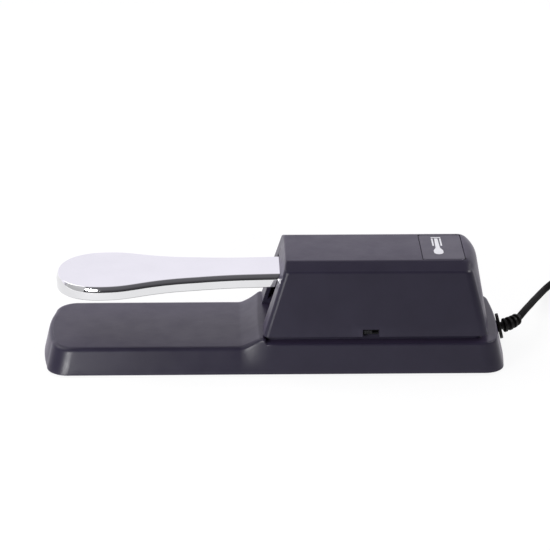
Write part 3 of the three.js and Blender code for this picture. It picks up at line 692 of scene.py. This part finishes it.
def lever_outline():
    """Points round the lever and the direction that points out of it at each."""
    side = []
    for i in range(25):
        angle = math.pi / 2 * i / 24
        x = PAD_CENTRE_X - (PAD_CENTRE_X - TIP_X) * math.cos(angle)
        side.append((x, lever_half(x)))
    for i in range(1, 41):
        x = mix(PAD_CENTRE_X, NECK_START_X, i / 40)
        side.append((x, lever_half(x)))
    corner = LEVER_END_CORNER
    corner_x, corner_y = LEVER_END_X - corner, NECK_HALF - corner
    side += [(mix(NECK_START_X, corner_x, i / 8), NECK_HALF) for i in range(1, 9)]
    for i in range(1, 7):
        angle = math.pi / 2 * i / 6
        side.append((corner_x + corner * math.sin(angle), corner_y + corner * math.cos(angle)))
    near = [Vector((x, -y)) for x, y in side]
    far = [Vector((x, y)) for x, y in side[1:]][::-1]
    outline = near + far
    out = []
    for i, point in enumerate(outline):
        ahead = (outline[(i + 1) % len(outline)] - outline[i - 1]).normalized()
        out.append((point, Vector((ahead.y, -ahead.x))))
    return out


def build_lever():
    """The lever as rings round its outline: from the middle of its underside, down the inside of the
    skirt, up the outside and over the leaning band and the rounded edge to the middle of its top."""
    outline = lever_outline()
    fillet = LEVER_SKIN + 1.2  # how far in from the edge the flat underside starts

    def ring(inset, z):
        """The outline brought in by an inset, which never crosses the middle line."""
        points = []
        for point, outward in outline:
            flat = point - outward * inset
            flat.y = max(flat.y, 0) if point.y > 0 else min(flat.y, 0) if point.y < 0 else 0
            points.append(TO_LEVER @ Vector((flat.x, flat.y, z)))
        return points

    def spine(z):
        """The ring closed up onto the middle line."""
        return [TO_LEVER @ Vector((p.x - outward.x * fillet, 0, z)) for p, outward in outline]

    foot = LEVER_TOP - LEVER_DEPTH
    ceiling = LEVER_TOP - LEVER_SKIN
    profile = [
        (fillet, ceiling), (LEVER_SKIN + 0.35, ceiling - 0.35), (LEVER_SKIN, ceiling - 1.2),
        (LEVER_SKIN, foot + 0.5), (LEVER_SKIN - 0.15, foot + 0.15), (LEVER_SKIN - 0.5, foot),
        (0.5, foot), (0.15, foot + 0.15), (0, foot + 0.5),
    ]
    steps = 8
    z = LEVER_TOP - LEVER_EDGE - LEVER_BAND
    inset = 0
    profile += [(0, z - 1), (0, z - 0.12)]
    for k in range(steps + 1):
        profile.append((inset, z))
        lean = math.radians(mix(BAND_LEAN[1], BAND_LEAN[0], (k + 0.5) / steps))
        z += LEVER_BAND / steps
        inset += LEVER_BAND / steps * math.tan(lean)
    lean = math.radians(BAND_LEAN[0])
    inset, z = profile[-1]
    for k in range(1, 7):
        angle = mix(lean, math.pi / 2, k / 6)
        profile.append((inset + LEVER_EDGE * (math.cos(lean) - math.cos(angle)),
                        z + LEVER_EDGE * (math.sin(angle) - math.sin(lean))))
    profile.append((profile[-1][0] + 0.5, profile[-1][1]))
    rings = [spine(ceiling)] + [ring(inset, z) for inset, z in profile] + [spine(profile[-1][1])]
    parts = [ring_stack("lever_body", rings)]
    bore, radius, half = HUB
    hub = eased([(bore, 0), (bore, -half), (radius, -half), (radius, half), (bore, half), (bore, 0)],
                0.2, 2)
    for y in (half - NECK_HALF, NECK_HALF - half):
        lay = TO_LEVER @ Matrix.Translation((0, y, 0)) @ Matrix.Rotation(math.pi / 2, 4, "X")
        parts.append(lathe("hub", hub, 48, lay))
    return joined("lever_body", parts)


# ---- badge, slider, feet, screws, spring and bottom plate ----

BADGE_GAP = 0.3
BADGE_CORNER = 1.2
BADGE_THICKNESS = 0.55
PICTOGRAM_X = 88.4
PRINT_FLOOR, PRINT_FACE = -0.01, 0.05  # from the badge's face
BAR_END = 12.4  # y at which the sign's neck and bars end
KNOB = ((47.65, -31.55, 21.5), (51.75, -27.35, 23.7))  # corners of the slider's knob
FEET = [(x, y) for x in (-106, 106) for y in (-24, 24)]
PLATE_SCREWS = [(x, y) for x in (-60, 56) for y in (-24, 24)]
SPRING_RADIUS = 6.2
SPRING_WIRE = 1.6
SPRING_TURNS = 6
SPRING_ENDS = (22.5, 46.2)
PLATE_INSET = 3.2
RIB_SIZE = (4, 40, 1.9)  # length, width and corner radius


def rounded_rectangle(x0, x1, y0, y1, radius, steps=6):
    """Points round a rectangle with round corners."""
    corners = [(x1 - radius, y1 - radius, 0), (x0 + radius, y1 - radius, 90),
               (x0 + radius, y0 + radius, 180), (x1 - radius, y0 + radius, 270)]
    points = []
    for cx, cy, start in corners:
        for k in range(steps + 1):
            angle = math.radians(start + 90 * k / steps)
            points.append((cx + radius * math.cos(angle), cy + radius * math.sin(angle)))
    return points


def plate_rings(outline, z0, z1, ease):
    """Rings of a flat plate with eased edges, from an outline function of the inset."""
    low = [(ease, z0), (0.3 * ease, z0 + 0.3 * ease), (0, z0 + ease)]
    high = [(0, z1 - ease), (0.3 * ease, z1 - 0.3 * ease), (ease, z1)]
    return [[(x, y, z) for x, y in outline(inset)] for inset, z in low + high]


def build_badge():
    """The badge's plate, which lies in the housing's recess with a gap all round."""
    b0, b1, half = BADGE
    top = COVER_TOP_Z - BADGE_SUNK

    def outline(inset):
        x0, x1 = b0 + BADGE_GAP + inset, b1 - BADGE_GAP - inset
        y0, y1 = -half + BADGE_GAP + inset, half - BADGE_GAP - inset
        return rounded_rectangle(x0, x1, y0, y1, BADGE_CORNER)

    rings = plate_rings(outline, top - BADGE_THICKNESS, top, 0.12)
    return flat_faced(ring_stack("badge_panel", rings))


def build_pictogram():
    """A plain pedal sign in white print: a lever seen from above with a bar on each side of its neck."""
    centre = PICTOGRAM_X
    lever = []
    for i in range(25):
        angle = math.pi * (i / 24) + math.pi
        lever.append((centre + 2.6 * math.cos(angle), -7.6 + 3.2 * math.sin(angle)))
    neck = [(2.5, -5), (1.2, -1.5), (0.9, BAR_END)]
    lever += [(centre + out, y) for out, y in neck]
    lever += [(centre - out, y) for out, y in reversed(neck)]
    bars = []
    for middle in (centre - 2.2, centre + 2.2):
        bars.append(rounded_rectangle(middle - 0.45, middle + 0.45, 1.5, BAR_END, 0.4))
    foot = rounded_rectangle(centre - 2.65, centre + 2.65, 13.3, 14.4, 0.4)
    face = COVER_TOP_Z - BADGE_SUNK
    prints = []
    for outline in (lever, *bars, foot):
        prints.append(prism_object("print", outline, face + PRINT_FLOOR, face + PRINT_FACE))
    return joined("badge_pictogram", prints)


def build_slider():
    """The polarity switch's knob: a thumb bar with three grooves."""
    knob = box_object("slider_knob", *KNOB)
    grooves = []
    for i in (1, 2, 3):
        middle = KNOB[0][0] + i
        grooves.append(box_object("groove", (middle - 0.22, -32, 20), (middle + 0.22, -31.15, 25)))
    carve(knob, grooves)
    return soften(knob, 0.1)


def build_foot(name, x, y):
    """A round rubber foot with a shallow dish in its underside."""
    profile = [(0, 0.25), (3.6, 0.25), (4, 0), (6.3, 0), (7, 0.5), (7, 1.7), (0, 1.7)]
    return flat_faced(lathe(name, eased(profile, 0.25, 3), 56, Matrix.Translation((x, y, 0))))


def build_plate_screw(name, x, y):
    """A round head with a cross recess, seen from below, and its shank."""
    profile = [(0, 0.6), (2.6, 0.62), (3.2, 1.1), (3.2, 1.7), (1.35, 1.7), (1.35, 9.6), (0.6, 10), (0, 10)]
    head = lathe(name, eased(profile, 0.3, 3), 40, Matrix.Translation((x, y, 0)))
    cross = []
    for a, b in ((1.75, 0.36), (0.36, 1.75)):
        cross.append(box_object("cross", (x - a, y - b, 0), (x + a, y + b, 1.35)))
    return flat_faced(carve(head, cross))


def build_spring():
    """The return spring, whose turns lie closer together at its ends."""
    path = []
    steps = SPRING_TURNS * 28
    for i in range(steps + 1):
        angle = 2 * math.pi * SPRING_TURNS * i / steps
        share = 0.2 * i / steps + 0.8 * smoothstep(0, 1, i / steps)
        x = SPRING_X + SPRING_RADIUS * math.cos(angle)
        path.append(Vector((x, SPRING_RADIUS * math.sin(angle), mix(*SPRING_ENDS, share))))
    return ring_stack("spring_coil", tube_rings(path, [SPRING_WIRE / 2] * len(path), 12))


def build_bottom_plate():
    """A steel sheet inside the base's rim, with four ribs pressed into it."""
    outline = Outline([-90, -50, 0, 50, 90], corner_steps=8, end_steps=10)

    def sheet(inset):
        shape = base_shape(PLATE_INSET + inset)
        return [tuple(outline.point(place, shape, 2.5)) for place in outline.places]

    def rib(x):
        length, width, corner = RIB_SIZE

        def around(inset):
            half_x, half_y = length / 2 - inset, width / 2 - inset
            return rounded_rectangle(x - half_x, x + half_x, -half_y, half_y, corner)
        return ring_stack("rib", plate_rings(around, 1.65, 2.2, 0.2))

    plate = ring_stack("bottom_cover", plate_rings(sheet, 2, 3.2, 0.25))
    return joined("bottom_cover", [plate, *[rib(x) for x in (-70, -30, 30, 70)]])


# ---- bend protector, tie and plug ----

REAR_WALL_DRAFT = BASE_REAR[1]
GLAND = Vector((125 - REAR_WALL_DRAFT * 9.5, 4.3, 10.3))
WALL_LEAN = math.atan(REAR_WALL_DRAFT)
RELIEF_RIBS = [(0.22, 3.9), (0.41, 3.8), (0.6, 3.6), (0.79, 3.4)]  # share of the length, radius
RELIEF_CORE = 2.15
TIE_BEARING = math.radians(215)
PLUG_AT = (COIL_CENTRE[0] + COIL_ROUTE, 35, PLUG_Z)


def build_relief():
    """A flange against the rear wall and a sleeve with deep ribs that bends with the cord."""
    lay = Matrix.Translation(GLAND) @ Matrix.Rotation(math.pi / 2 - WALL_LEAN, 4, "Y")
    rim = [(0, -5.5), (3.2, -5.5), (3.3, 0.4), (7.05, 0.4), (7.05, 2.1), (0, 2.1)]
    flange = lathe("flange", eased(rim, 0.35, 4), 56, lay)
    axis = [GLAND + Vector((1, 0, 0.2)), (126.7, 4.7, 10.8), (130, 6.3, 11.3), (133, 8.9, 11.7), RELIEF_TIP]
    path = catmull(axis, 40)
    total = run_length(path)
    radii, gone = [], 0
    for i, point in enumerate(path):
        gone += (point - path[i - 1]).length if i else 0
        share = gone / total
        radius = RELIEF_CORE
        for centre, rib in RELIEF_RIBS:
            lift = 1 - smoothstep(0.036, 0.05, abs(share - centre))
            radius = max(radius, mix(radius, rib, lift))
        radii.append(radius)
    path.append(path[-1] + (path[-1] - path[-2]).normalized() * 0.3)
    radii.append(2.05)
    return joined("bend_protector", [flange, ring_stack("sleeve", tube_rings(path, radii, 32))])


def build_tie():
    """A strap round the coil's section, boxy with round corners and eased edges."""
    inner, outer, top, skin, half = 14.5, 31.6, 18.4, 0.6, 4
    squareness = 5
    across = [(0.02, half - 0.2), (0.12, half), (skin - 0.12, half), (skin - 0.02, half - 0.2),
              (skin - 0.02, 0.2 - half), (skin - 0.12, -half), (0.12, -half), (0.02, 0.2 - half)]
    place = Matrix.Translation((*COIL_CENTRE, 0)) @ Matrix.Rotation(TIE_BEARING, 4, "Z")
    middle = Vector(((inner + outer) / 2, 0, (skin + top) / 2))
    reach_x, reach_z = (outer - inner) / 2, (top - skin) / 2
    rings = []
    for k in range(64):
        angle = 2 * math.pi * k / 64
        c, s = math.cos(angle), math.sin(angle)
        scale = (abs(c) ** squareness + abs(s) ** squareness) ** (-1 / squareness)
        ring = []
        for lift, y in across:
            out = Vector((c * scale * (reach_x + lift), y, s * scale * (reach_z + lift)))
            ring.append(place @ (middle + out))
        rings.append(ring)
    return ring_stack("cord_strap", rings, wrap=True)


def build_plug():
    """The plug's grip with its ribbed tail, the metal sleeve, the insulating ring and the tip."""
    grip = [(0, 0), (3.1, 0), (3.3, 0.4)]
    for i in range(5):
        z = 1.2 + i * 1.3
        groove, rib = 3.35 + 0.2 * i, 3.95 + 0.15 * i
        grip += [(groove, z), (rib, z + 0.15), (rib, z + 0.75), (groove, z + 0.9)]
    grip += [(4.5, 8), (6.1, 9.6), (6.35, 12)]
    for i in range(8):
        z = 14 + i * 2.2
        grip += [(6.35, z), (6.0, z + 0.3), (6.0, z + 0.8), (6.35, z + 1.1)]
    grip += [(6.35, 36), (5.6, 37.9), (0, 37.9)]
    sleeve = [(0, 38.3), (4.55, 38.3), (4.55, 39.8), (3.17, 39.8), (3.17, 60.8), (0, 60.8)]
    ring = [(0, 61.1), (3.12, 61.1), (3.12, 62.2), (0, 62.2)]
    tip = [(0, 62.5), (3.17, 62.5), (3.05, 63.2), (2.3, 64.8), (2.35, 65.3), (3.17, 67.2), (3.05, 67.9),
           (1.5, 70.4), (0, 70.75)]
    lay = Matrix.Translation(PLUG_AT) @ Matrix.Rotation(math.pi / 2, 4, "X")
    pieces = {
        "plug_handle": ("plug_grip", eased(grip, 0.25, 2)),
        "plug_sleeve": ("plug_barrel", eased(sleeve, 0.25, 3)),
        "plug_insulator": ("plug_ring", eased(ring, 0.15, 2)),
        "plug_tip": ("plug_point", eased(tip, 0.35, 3)),
    }
    return {node: flat_faced(lathe(*piece, 48, lay)) for node, piece in pieces.items()}


# ---- materials ----

HAZE_TINT = (0.7, 0.5, 1, 1)  # the plastic's faint violet bloom at a glancing angle
PLASTICS = {  # dark, light and rubbed colour, roughness from and to, grain, mirror level and haze
    "casing": ((0.0122, 0.0101, 0.0212), (0.0150, 0.0126, 0.0255), (0.05, 0.045, 0.07),
               (0.32, 0.4), (0.6, 0.034), 0.24, 0.08),
    "badge": ((0.0115, 0.0098, 0.0188), (0.0142, 0.0122, 0.023), (0.05, 0.045, 0.07),
              (0.38, 0.46), (0.5, 0.003), 0.52, 0.08),
    "print": ((0.74, 0.74, 0.76), (0.82, 0.82, 0.84), (0.6, 0.6, 0.62), (0.45, 0.55), (0.2, 0.002), 0.5),
    "black_plastic": ((0.006, 0.006, 0.0065), (0.009, 0.009, 0.0098), (0.02, 0.02, 0.023),
                      (0.35, 0.48), (0.3, 0.008), 0.14),
    "sleeve": ((0.006, 0.005, 0.005), (0.009, 0.0075, 0.0075), (0.022, 0.0195, 0.0185),
               (0.42, 0.52), (0.4, 0.004), 0.16),
    "rubber": ((0.006, 0.006, 0.0065), (0.009, 0.009, 0.0095), (0.02, 0.02, 0.02),
               (0.65, 0.78), (0.4, 0.012), 0.08),
    "cord_jacket": ((0.006, 0.0055, 0.0055), (0.0075, 0.007, 0.007), (0.0095, 0.009, 0.009),
                    (0.6, 0.72), (0.5, 0.006), 0.04),
    "board": ((0.008, 0.07, 0.025), (0.012, 0.10, 0.035), (0.05, 0.16, 0.08), (0.25, 0.4), (0.8, 0.01), 0.5),
}
METALS = {  # dark and light colour, roughness from and to, and the stretch of the smears
    "chrome": ((0.72, 0.72, 0.735), (0.76, 0.76, 0.775), (0.035, 0.075), (0.3, 1, 1)),
    "steel": ((0.42, 0.42, 0.43), (0.50, 0.50, 0.50), (0.28, 0.42), (0.2, 1, 1)),
}


def add_node(tree, kind, inputs=(), **options):
    """A shader node; each input is a value or another node's output."""
    made = tree.nodes.new(kind)
    for key, value in options.items():
        setattr(made, key, value)
    for socket, value in dict(inputs).items():
        if hasattr(value, "is_linked"):
            tree.links.new(value, made.inputs[socket])
        else:
            made.inputs[socket].default_value = value
    return made


class Look:
    """A procedural finish: its nodes read object coordinates, in metres."""

    def __init__(self, name, **sockets):
        self.material = bpy.data.materials.new(name)
        self.material.use_nodes = True
        self.tree = self.material.node_tree
        self.shader = self.tree.nodes["Principled BSDF"]
        for socket, value in sockets.items():
            self.shader.inputs[socket.replace("_", " ")].default_value = value
        self.place = self.node("ShaderNodeTexCoord").outputs["Object"]
        self.colour = None
        self.bump = None

    def node(self, kind, inputs=(), **options):
        return add_node(self.tree, kind, inputs, **options)

    def noise(self, size_mm, detail, stretch=None):
        """Noise with features of about the given size; stretch scales its axes."""
        place = self.place
        if stretch:
            scaled = {0: place, 1: stretch}
            place = self.node("ShaderNodeVectorMath", scaled, operation="MULTIPLY").outputs[0]
        inputs = {"Vector": place, "Scale": 1000 / size_mm, "Detail": detail}
        return self.node("ShaderNodeTexNoise", inputs).outputs["Fac"]

    def spread(self, value, low, high, start=0.3, end=0.7):
        """Carries values from start to end over to low to high."""
        inputs = {"Value": value, "From Min": start, "From Max": end, "To Min": low, "To Max": high}
        return self.node("ShaderNodeMapRange", inputs).outputs["Result"]

    def rough(self, value, low, high):
        self.tree.links.new(self.spread(value, low, high), self.shader.inputs["Roughness"])

    def paint(self, share, first, second):
        """The base colour, from the first at a share of 0 to the second at 1."""
        inputs = {"Factor": share, "A": first, "B": second}
        self.colour = self.node("ShaderNodeMix", inputs, data_type="RGBA").outputs["Result"]
        self.tree.links.new(self.colour, self.shader.inputs["Base Color"])

    def tint(self, value, dark, light):
        self.paint(self.spread(value, 0, 1), (*dark, 1), (*light, 1))

    def worn(self, edge):
        """Edges rubbed a little lighter, in patches."""
        pointed = self.node("ShaderNodeNewGeometry").outputs["Pointiness"]
        factors = {0: self.spread(pointed, 0, 0.6, 0.52, 0.6), 1: self.spread(self.noise(6, 3), 0.3, 1)}
        patchy = self.node("ShaderNodeMath", factors, operation="MULTIPLY").outputs[0]
        self.paint(patchy, self.colour, (*edge, 1))

    def relief(self, height, depth_mm, strength):
        """Bumps, on top of those that the look already has."""
        inputs = {"Height": height, "Distance": depth_mm * MM, "Strength": strength}
        if self.bump:
            inputs["Normal"] = self.bump
        self.bump = self.node("ShaderNodeBump", inputs).outputs["Normal"]
        self.tree.links.new(self.bump, self.shader.inputs["Normal"])


def moulded(name, dark, light, edge, rough, grain, level, haze=0):
    """Moulded plastic or rubber: grain of a size and depth in mm, faint cloudiness and rubbed edges."""
    look = Look(name, Specular_IOR_Level=level, Sheen_Weight=haze, Sheen_Roughness=0.4,
                Sheen_Tint=HAZE_TINT)
    size, depth = grain
    look.tint(look.noise(22, 3), dark, light)
    look.worn(edge)
    look.rough(look.noise(9, 4), *rough)
    look.relief(look.noise(size, 2), depth, 0.8)
    look.relief(look.noise(size * 5, 2), depth * 2, 0.25)
    return look.material


def metal(name, dark, light, rough, smear):
    """Plated metal: faint smears in its gloss and hairline scratches."""
    look = Look(name, Metallic=1.0)
    look.tint(look.noise(30, 3), dark, light)
    look.rough(look.noise(14, 4, smear), *rough)
    look.relief(look.noise(0.5, 3, (0.04, 1, 1)), 0.0006, 0.3)
    return look.material


MATERIALS = {name: moulded(name, *row) for name, row in PLASTICS.items()}
MATERIALS.update({name: metal(name, *row) for name, row in METALS.items()})


def dress(obj, look):
    obj.data.materials.clear()
    obj.data.materials.append(MATERIALS[look])


def add_piece(obj, body, look, *nodes):
    """Gives a piece its look, the body that it moves with and the nodes that it stands for."""
    dress(obj, look)
    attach(obj, body)
    if nodes:
        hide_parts(*nodes)
    return obj


for row in frame["record"]["subparts"]:
    for material_slot in frame["nodes"][row["node"]].material_slots:
        material_slot.material = MATERIALS[row["material_slot"]]

dress(cord, "cord_jacket")
add_piece(build_base(), "base", "casing", "base_shell")
add_piece(build_housing(), "base", "casing", "housing_cover")
add_piece(build_lever(), "lever", "chrome", "pedal_lever")
add_piece(build_badge(), "base", "badge", "badge_plate")
add_piece(build_pictogram(), "base", "print")
add_piece(build_slider(), "slider", "black_plastic", "polarity_slider")
add_piece(build_bottom_plate(), "base", "steel", "bottom_plate")
for i, (x, y) in enumerate(FEET, 1):
    add_piece(build_foot(f"foot_{i}", x, y), "base", "rubber", f"rubber_foot_{i}")
for i, (x, y) in enumerate(PLATE_SCREWS, 1):
    add_piece(build_plate_screw(f"screw_{i}", x, y), "base", "steel", f"plate_screw_{i}")
spring = add_piece(build_spring(), "base", "steel", "return_spring")
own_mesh(spring)
relief = add_piece(build_relief(), "base", "sleeve", "strain_relief")
tie = add_piece(build_tie(), "base", "rubber", "cord_tie")
for node, obj in build_plug().items():
    look = "black_plastic" if node in ("plug_handle", "plug_insulator") else "chrome"
    add_piece(obj, "base", look, node)

# ---- floor and light ----

# Brightness of the room by the height of a direction: 0 is the horizon and below, and 1 straight up.
BACK_BAND = [(0, 1.3), (0.22, 1.25), (0.34, 1.1), (0.5, 1.1), (0.68, 0.9), (0.8, 0.2), (1, 0.4)]
FRONT_BAND = [(0, 0.02), (0.12, 0.05), (0.3, 0.14), (0.6, 0.18), (1, 0.4)]
BACK_EDGE = (0.2, 0.65)  # where the back starts and where it is at its full brightness, along +Y
BACK_TO_LEFT = 0.2  # how far the bright back reaches round to the left
ROOM_TINT = (0.985, 0.96, 1.045)
FLOOR_GLOW = 0.875
FLOOR_HALF = 3000


def add_floor():
    """A pale floor that glows a little, as a lit white sweep does, so that shadows on it stay faint."""
    half, z = FLOOR_HALF, -0.05
    corners = [(-half, -half, z), (half, -half, z), (half, half, z), (-half, half, z)]
    floor = new_object("floor", corners, [(0, 1, 2, 3)])
    look = Look("floor", Specular_IOR_Level=0.1, Roughness=0.8, Emission_Strength=FLOOR_GLOW)
    look.shader.inputs["Emission Color"].default_value = (1, 1, 1, 1)
    look.tint(look.noise(300, 2), (0.115, 0.115, 0.115), (0.125, 0.125, 0.125))
    floor.data.materials.append(look.material)


def add_panel(name, at, toward, size, power, shape="RECTANGLE"):
    """A lit panel that faces a point; the camera doesn't see it."""
    data = bpy.data.lights.new(name, "AREA")
    data.shape = shape
    data.size, data.size_y = (s * MM for s in size)
    data.energy = power
    lamp = bpy.data.objects.new(name, data)
    lamp.visible_camera = False
    scene.collection.objects.link(lamp)
    aim = (Vector(toward) - Vector(at)).to_track_quat("-Z", "Y")
    lamp.matrix_world = Matrix.Translation(Vector(at) * MM) @ aim.to_matrix().to_4x4()


def add_surroundings():
    """A studio room that is bright behind the object and far dimmer in front, with a dim ceiling."""
    world = bpy.data.worlds.new("studio")
    scene.world = world
    world.use_nodes = True
    tree = world.node_tree

    def ramp(source, stops):
        made = add_node(tree, "ShaderNodeValToRGB", {"Fac": source})
        made.color_ramp.interpolation = "EASE"
        elements = made.color_ramp.elements
        while len(elements) < len(stops):
            elements.new(0.5)
        for element, (where, level) in zip(elements, stops):
            element.position = where
            element.color = (level, level, level, 1)
        return made.outputs["Color"]

    direction = add_node(tree, "ShaderNodeTexCoord").outputs["Generated"]
    along_x, along_y, upward = add_node(tree, "ShaderNodeSeparateXYZ", {0: direction}).outputs
    turned = {0: along_x, 1: -BACK_TO_LEFT, 2: along_y}
    side = add_node(tree, "ShaderNodeMath", turned, operation="MULTIPLY_ADD").outputs[0]
    edge = {"Value": side, "From Min": BACK_EDGE[0], "From Max": BACK_EDGE[1]}
    behind = add_node(tree, "ShaderNodeMapRange", edge, interpolation_type="SMOOTHSTEP").outputs["Result"]
    bands = {"Factor": behind, "A": ramp(upward, FRONT_BAND), "B": ramp(upward, BACK_BAND)}
    room = add_node(tree, "ShaderNodeMix", bands, data_type="RGBA").outputs["Result"]
    tint = {"Factor": 1, "A": room, "B": (*ROOM_TINT, 1)}
    tinted = add_node(tree, "ShaderNodeMix", tint, data_type="RGBA", blend_type="MULTIPLY")
    tree.links.new(tinted.outputs["Result"], tree.nodes["Background"].inputs["Color"])


add_floor()
add_surroundings()
add_panel("key_left", (-310, -500, 168), (-60, 0, 30), (270, 46), 3.3, "ELLIPSE")
add_panel("card_left", (-1150, -420, 220), (-118, 0, 45), (1250, 800), 1.7)
add_panel("soft_left", (-1000, 500, 1400), (40, 0, 30), (1400, 1000), 12)
add_panel("soft_right", (1400, 250, 1100), (40, 0, 30), (800, 500), 14)
